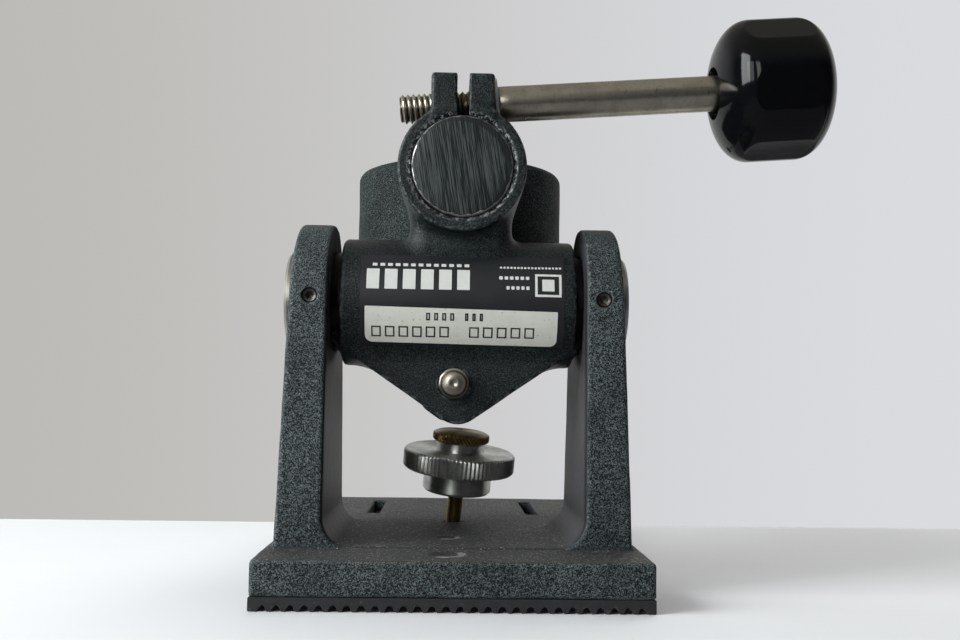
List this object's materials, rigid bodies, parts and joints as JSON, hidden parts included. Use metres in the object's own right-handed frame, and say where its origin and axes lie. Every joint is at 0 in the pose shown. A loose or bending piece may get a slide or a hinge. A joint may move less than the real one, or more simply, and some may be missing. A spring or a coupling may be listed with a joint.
{
  "type": "tripod head",
  "caption": "Heavy pan and tilt head for a large-format camera: ribbed camera plate with a yoke, clamped tilt and side-tilt shafts, knobbed handles and a tripod socket.",
  "frame": {"origin": "underside of the rubber camera pad, straight below the tilt axis", "axes": "+X along the tilt shaft towards the side handle's knob, +Y from the front label to the tilt handle's knob, +Z from the camera pad up to the tripod socket"},
  "size_m": [0.1591, 0.3758, 0.1653],
  "materials": {
    "crinkle_black": "black crinkle paint with grey speckle",
    "casting_black": "semi-gloss black textured paint",
    "pad_rubber": "matte black moulded rubber",
    "ground_steel": "ground steel",
    "black_steel": "black oxide steel",
    "painted_shaft": "worn dark paint over coarse lathe and file marks",
    "rod_stainless": "satin stainless steel, slightly tarnished",
    "turned_steel": "turned and knurled steel",
    "old_brass": "dark patinated brass",
    "phenolic": "polished black phenolic",
    "label_black": "satin black foil with plain white marks",
    "label_silver": "satin silver foil with a plain dark line",
    "bearing_plastic": "natural nylon",
    "spindle_steel": "turned steel"
  },
  "bodies": {
    "platform": {"yoke_platform": "crinkle_black", "rubber_pad": "pad_rubber", "tilt_shaft": "ground_steel", "shaft_set_screws": "black_steel"},
    "camera_screw": {"camera_screw": "old_brass", "captive_washer": "old_brass"},
    "lock_nut": {"lock_nut": "turned_steel"},
    "tilt_head": {"tilt_casting": "casting_black", "front_label": "label_black", "lower_label": "label_silver"},
    "side_handle": {"side_handle_rod": "rod_stainless", "side_handle_knob": "phenolic", "side_handle_washer": "turned_steel"},
    "tilt_handle": {"tilt_handle_rod": "rod_stainless", "tilt_handle_knob": "phenolic", "tilt_handle_washer": "turned_steel"},
    "pan_base": {"side_tilt_shaft": "painted_shaft", "shaft_cross_pin": "ground_steel", "pan_housing": "crinkle_black", "pan_thrust_washer": "bearing_plastic", "housing_cover": "casting_black", "cover_screws": "turned_steel", "pan_lock_pad": "old_brass"},
    "pan_spindle": {"pan_spindle": "spindle_steel", "pan_retaining_washer": "turned_steel", "pan_retaining_nut": "turned_steel"},
    "pan_lock": {"pan_lock_screw": "turned_steel", "pan_lock_knob": "phenolic"}
  },
  "joints": [
    {"name": "tilt", "type": "hinge", "parent": "platform", "child": "tilt_head", "pos_m": [0, 0, 0.0805], "axis": [1, 0, 0], "range_deg": [-10, 90]},
    {"name": "side_tilt", "type": "hinge", "parent": "tilt_head", "child": "pan_base", "pos_m": [0.0008, 0, 0.1178], "axis": [0, 1, 0], "range_deg": [-90, 90]},
    {"name": "pan", "type": "hinge", "parent": "pan_base", "child": "pan_spindle", "pos_m": [0.0008, 0.055, 0.11], "axis": [0, 0, 1], "continuous": true},
    {"name": "pan_lock_turn", "type": "hinge", "parent": "pan_base", "child": "pan_lock", "pos_m": [0.0008, 0.09, 0.108], "axis": [0, 1, 0], "range_deg": [-180, 180]},
    {"name": "side_handle_turn", "type": "hinge", "parent": "tilt_head", "child": "side_handle", "pos_m": [0.0008, -0.008, 0.1376], "axis": [0.9972, 0, 0.075], "range_deg": [-180, 180]},
    {"name": "tilt_handle_turn", "type": "hinge", "parent": "tilt_head", "child": "tilt_handle", "pos_m": [-0.0006, 0, 0.057], "axis": [0, 1, 0], "range_deg": [-180, 180]},
    {"name": "screw_turn", "type": "hinge", "parent": "platform", "child": "camera_screw", "pos_m": [0, 0.036, 0.01075], "axis": [0.077, -0.1219, 0.9896], "continuous": true},
    {"name": "lock_nut_turn", "type": "hinge", "parent": "camera_screw", "child": "lock_nut", "pos_m": [0, 0.036, 0.01075], "axis": [0.077, -0.1219, 0.9896], "continuous": true}
  ]
}
